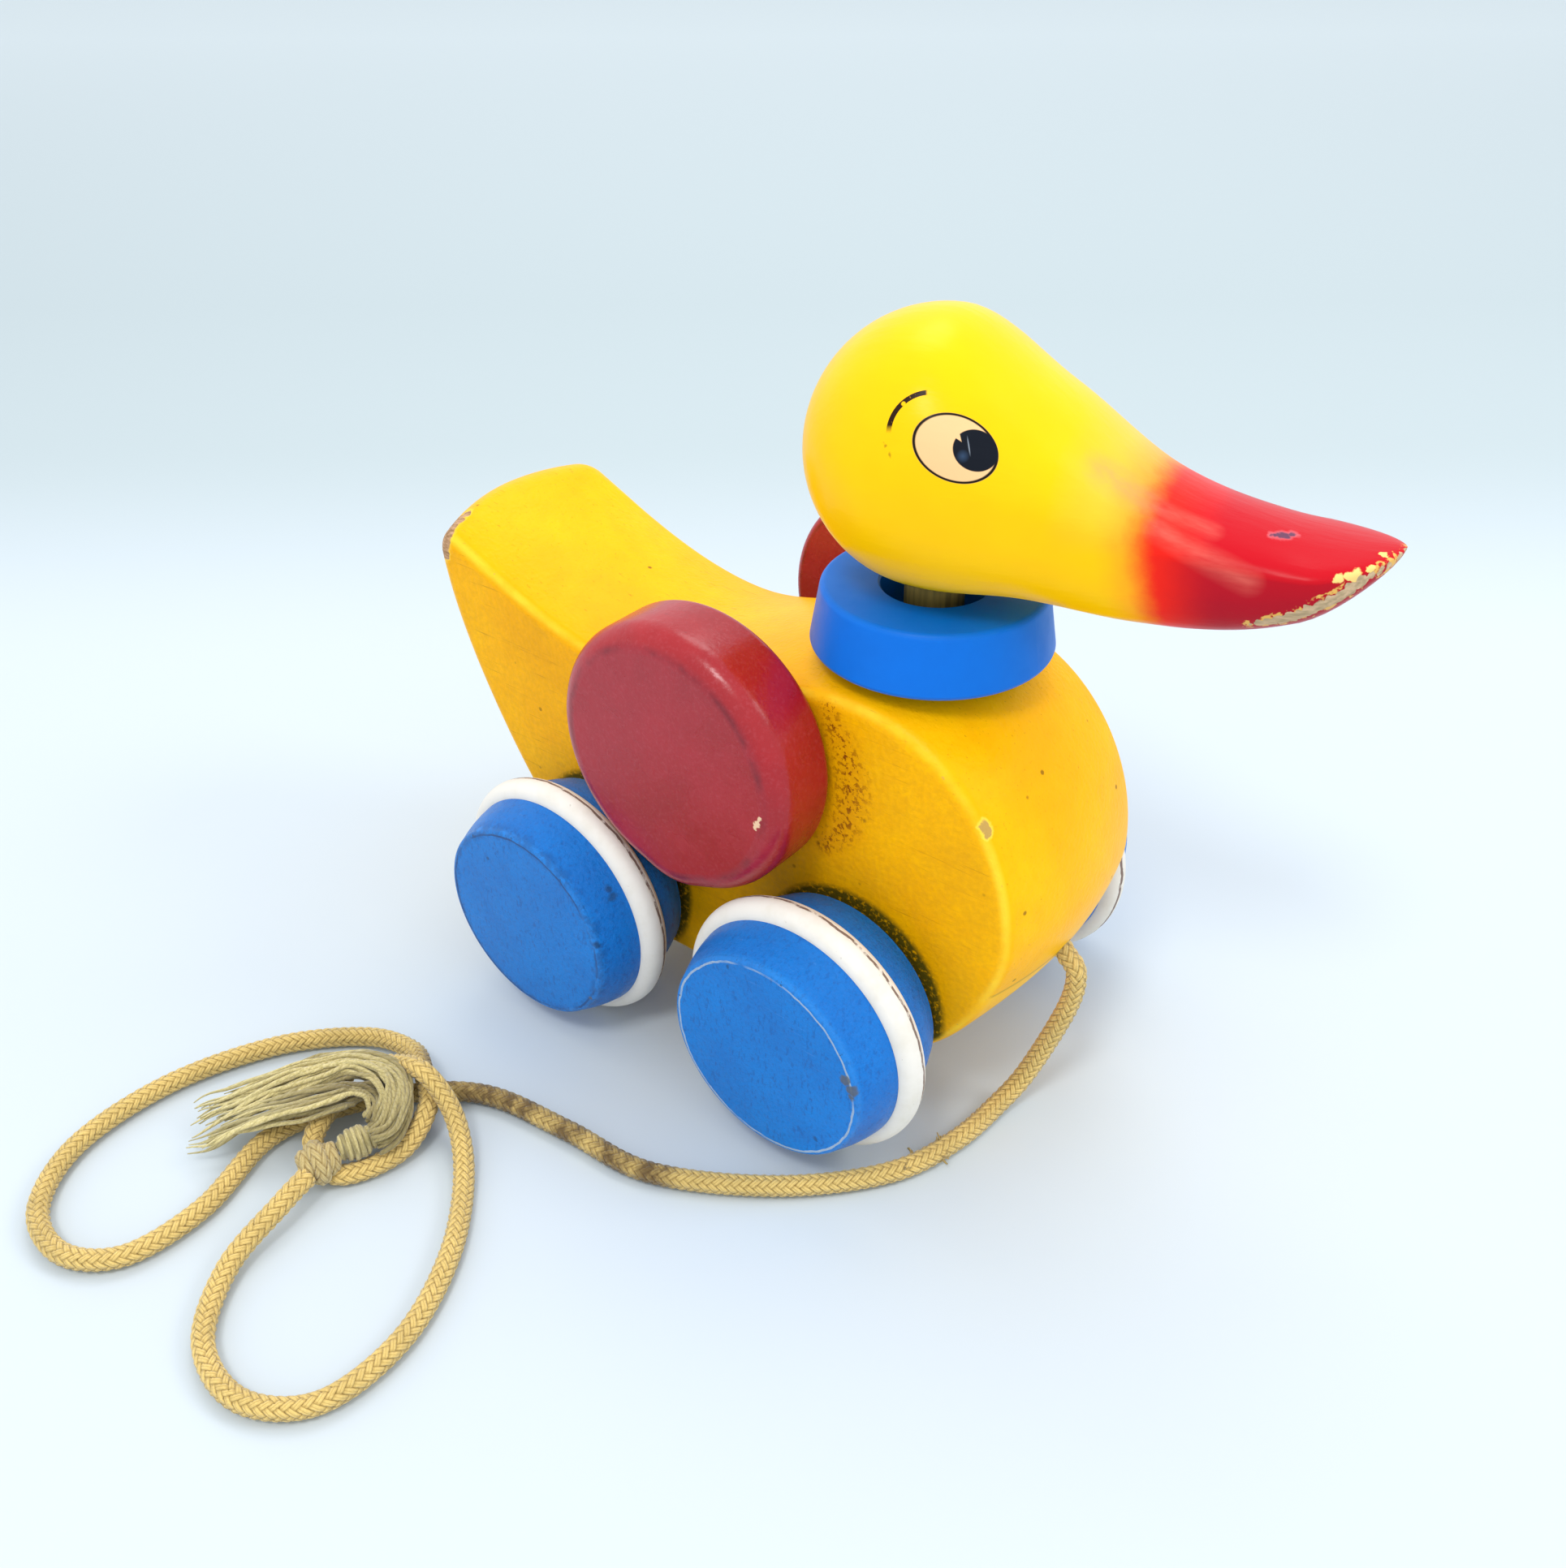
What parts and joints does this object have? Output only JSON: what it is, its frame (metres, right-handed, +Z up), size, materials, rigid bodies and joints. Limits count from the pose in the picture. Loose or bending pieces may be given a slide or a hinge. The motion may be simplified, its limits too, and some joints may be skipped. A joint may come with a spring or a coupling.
{
  "type": "pull-along duck toy",
  "caption": "Wooden pull-along duck on barrel wheels with rubber rings, with turning wings, a swivelling head, a loose collar and a braided pull cord.",
  "frame": {"origin": "on the floor, midway between the axles and between the body's sides", "axes": "+X from tail to bill, +Y to the duck's left, +Z up"},
  "size_m": [0.1735, 0.1846, 0.1417],
  "materials": {
    "yellow_paint": "glossy enamel on wood, yellow, with a red bill",
    "bare_wood": "bare turned wood",
    "red_paint": "glossy enamel on wood",
    "blue_paint": "glossy enamel on wood",
    "blue_plastic": "smooth moulded plastic",
    "white_rubber": "matt aged white rubber",
    "steel": "plain rod",
    "cotton": "braided cotton, frayed at its end"
  },
  "bodies": {
    "duck": {"body": "yellow_paint", "neck_dowel": "bare_wood", "pull_cord": "cotton", "loop_knot": "cotton", "cord_whipping": "cotton", "cord_tassel": "cotton"},
    "head": {"head": "yellow_paint"},
    "collar": {"collar": "blue_plastic"},
    "wings": {"right_wing": "red_paint", "left_wing": "red_paint", "wing_axle": "steel"},
    "front_wheelset": {"front_axle": "steel", "front_right_wheel": "blue_paint", "front_left_wheel": "blue_paint", "front_right_tyre": "white_rubber", "front_left_tyre": "white_rubber"},
    "rear_wheelset": {"rear_axle": "steel", "rear_right_wheel": "blue_paint", "rear_left_wheel": "blue_paint", "rear_right_tyre": "white_rubber", "rear_left_tyre": "white_rubber"}
  },
  "joints": [
    {"name": "front_wheels_roll", "type": "hinge", "parent": "duck", "child": "front_wheelset", "pos_m": [0.0292, 0, 0.025], "axis": [0, 1, 0], "continuous": true},
    {"name": "rear_wheels_roll", "type": "hinge", "parent": "duck", "child": "rear_wheelset", "pos_m": [-0.0292, 0, 0.025], "axis": [0, 1, 0], "continuous": true},
    {"name": "wings_turn", "type": "hinge", "parent": "duck", "child": "wings", "pos_m": [0, 0, 0.069], "axis": [0, 1, 0], "continuous": true},
    {"name": "head_turn", "type": "hinge", "parent": "duck", "child": "head", "pos_m": [0.029, 0, 0.1], "axis": [0, 0, 1], "continuous": true},
    {"name": "collar_turn", "type": "hinge", "parent": "duck", "child": "collar", "pos_m": [0.029, 0, 0.09], "axis": [0, 0, 1], "continuous": true}
  ]
}
